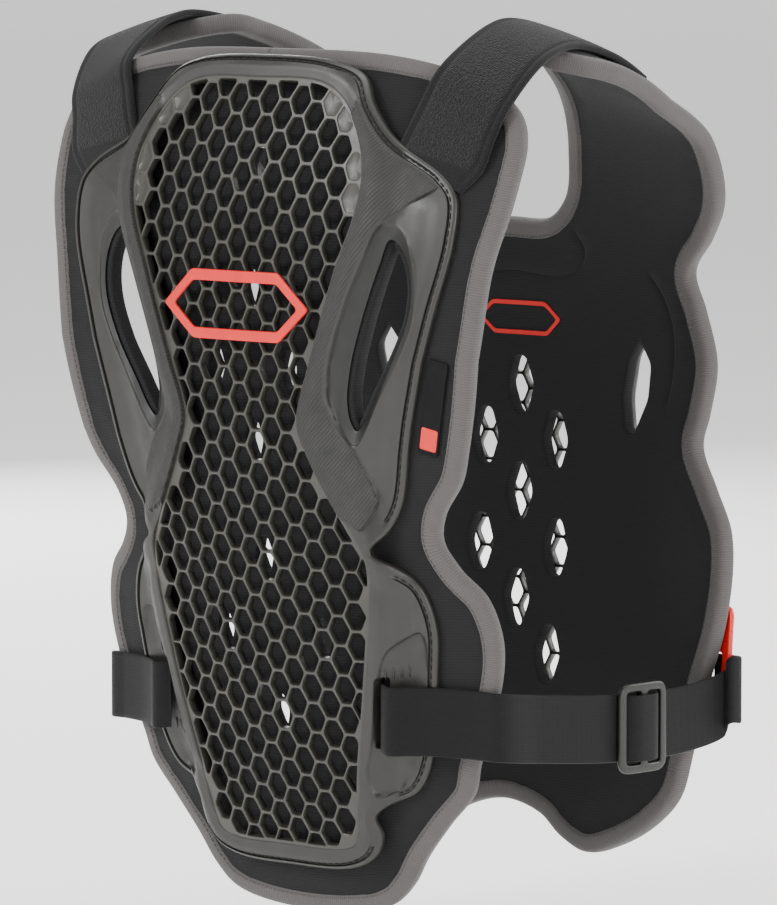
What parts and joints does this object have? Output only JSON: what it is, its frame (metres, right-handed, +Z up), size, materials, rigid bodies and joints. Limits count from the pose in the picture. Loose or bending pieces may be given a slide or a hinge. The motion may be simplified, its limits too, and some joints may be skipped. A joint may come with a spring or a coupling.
{
  "type": "roost deflector",
  "caption": "Padded chest and back protector with bound edges, honeycomb-vented plates, shoulder straps and elastic waist straps with slider buckles.",
  "frame": {"origin": "midway between the wearer's shoulders, level with the inner face of the back panel's wings where they rest on them", "axes": "+Z up the standing wearer, -Y the way the wearer faces, +X the wearer's left"},
  "size_m": [0.377, 0.2849, 0.5285],
  "materials": {
    "foam": "knitted cloth over foam",
    "binding": "woven edge tape",
    "plate": "moulded, satin with fine grain",
    "loop_strap": "brushed loop webbing",
    "elastic": "flat woven elastic",
    "buckle": "moulded, semi-gloss",
    "red_plastic": "moulded, satin",
    "label": "printed tag, satin"
  },
  "bodies": {
    "root": {"front_pad": "foam", "front_binding": "binding", "front_plate": "plate", "front_grille": "plate", "back_pad": "foam", "back_binding": "binding", "back_plate": "plate", "back_grille": "plate", "shoulder_strap_left": "loop_strap", "shoulder_strap_right": "loop_strap", "waist_strap_left": "elastic", "waist_strap_right": "elastic", "slider_buckle_left": "buckle", "slider_buckle_right": "buckle", "hook_clip_left": "red_plastic", "hook_clip_right": "red_plastic", "chest_badge": "red_plastic", "side_label": "label"}
  },
  "joints": []
}
